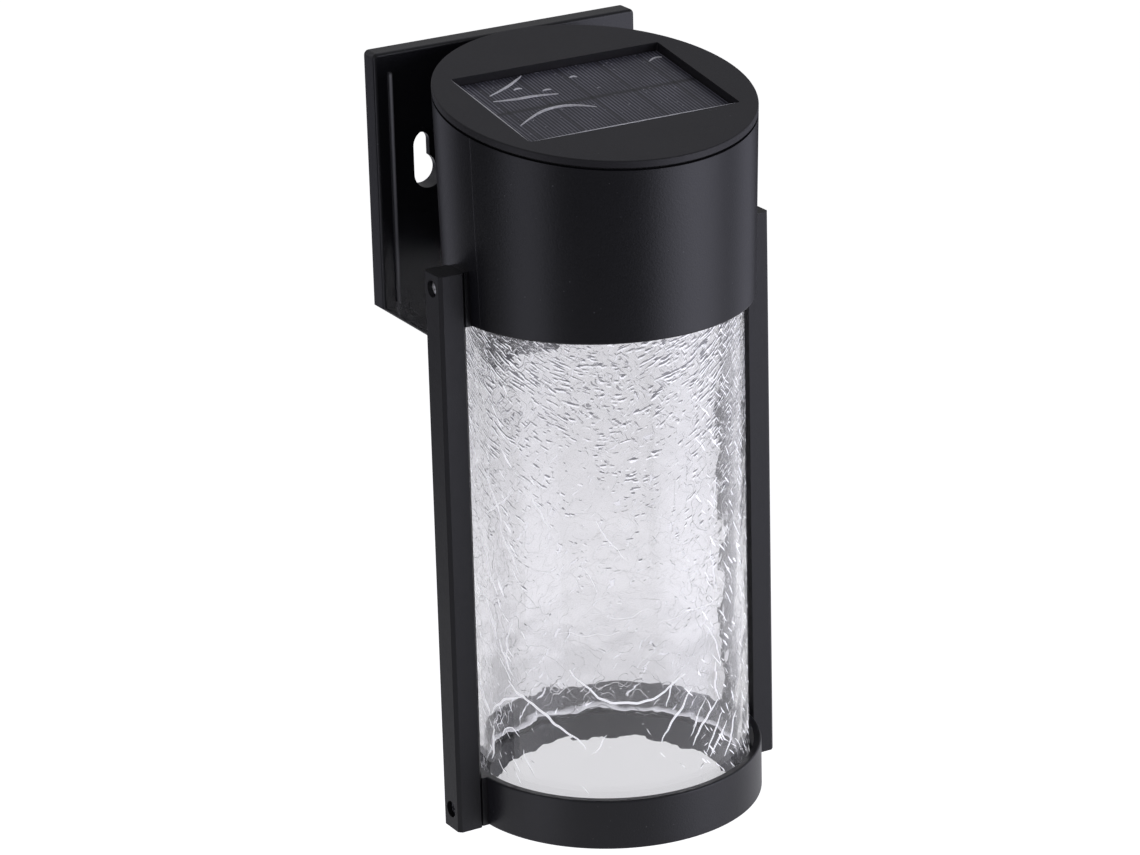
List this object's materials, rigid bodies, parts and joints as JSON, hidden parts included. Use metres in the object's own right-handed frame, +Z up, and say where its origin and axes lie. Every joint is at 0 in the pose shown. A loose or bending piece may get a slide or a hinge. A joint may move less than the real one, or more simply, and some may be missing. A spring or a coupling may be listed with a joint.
{
  "type": "solar motion sensor light",
  "caption": "Wall light with a sloping solar lid, a tapered black head, an open crackle glass tube held by side bars and a base ring, and a keyhole wall plate.",
  "frame": {"origin": "on the wall, at the back of the wall plate, on the lamp's middle plane and level with the middle of the head's rear pad", "axes": "+X to the right seen from the front, +Y into the wall, +Z up; the light stands out towards -Y"},
  "size_m": [0.118, 0.1113, 0.2408],
  "materials": {
    "black_shell": "satin black moulded shell with a fine grain",
    "black_bar": "satin black paint",
    "black_inner": "plain moulded",
    "steel_screw": "bright",
    "black_screw": "blackened",
    "crackle_glass": "clear with inner cracks",
    "rubber_seal": "soft",
    "opal_plastic": "opal",
    "board_aluminium": "white coated",
    "led_package": "phosphor dome",
    "lead_sleeve": "insulated lead",
    "board_laminate": "coated laminate",
    "component_black": "moulded",
    "cell_sleeve": "shrink sleeve",
    "spring_steel": "plated",
    "button_rubber": "satin",
    "connector_white": "moulded",
    "solar_cell": "clear coated cells"
  },
  "bodies": {
    "lamp": {"wall_plate": "black_shell", "plate_screws": "steel_screw", "head_housing": "black_shell", "glass_tube": "crackle_glass", "upper_glass_seal": "rubber_seal", "lower_glass_seal": "rubber_seal", "base_ring": "black_shell", "side_bar_left": "black_bar", "side_bar_right": "black_bar", "upper_bar_screws": "steel_screw", "lower_bar_screws": "black_screw", "diffuser": "opal_plastic", "led_board": "board_aluminium", "leds": "led_package", "led_board_screws": "steel_screw", "led_lead": "lead_sleeve", "control_board": "board_laminate", "board_screws": "steel_screw", "board_components": "component_black", "battery_holder": "black_inner", "battery_cell": "cell_sleeve", "battery_contacts": "spring_steel", "motion_sensor": "board_laminate", "switch_body": "component_black", "button_seal": "rubber_seal", "solar_socket": "connector_white"},
    "lid": {"solar_lid": "black_shell", "solar_panel": "solar_cell", "lid_gasket": "rubber_seal", "solar_plug": "connector_white", "solar_lead": "lead_sleeve"},
    "button": {"mode_button": "button_rubber", "switch_plunger": "component_black"}
  },
  "joints": [
    {"name": "lid_lift", "type": "slide", "parent": "lamp", "child": "lid", "axis": [0, 0, 1], "range_m": [0, 0.055]},
    {"name": "button_press", "type": "slide", "parent": "lamp", "child": "button", "axis": [-1, 0, 0], "range_m": [0, 0.0008], "stiffness_N_per_m": 1500, "springref_m": -0.0004}
  ]
}
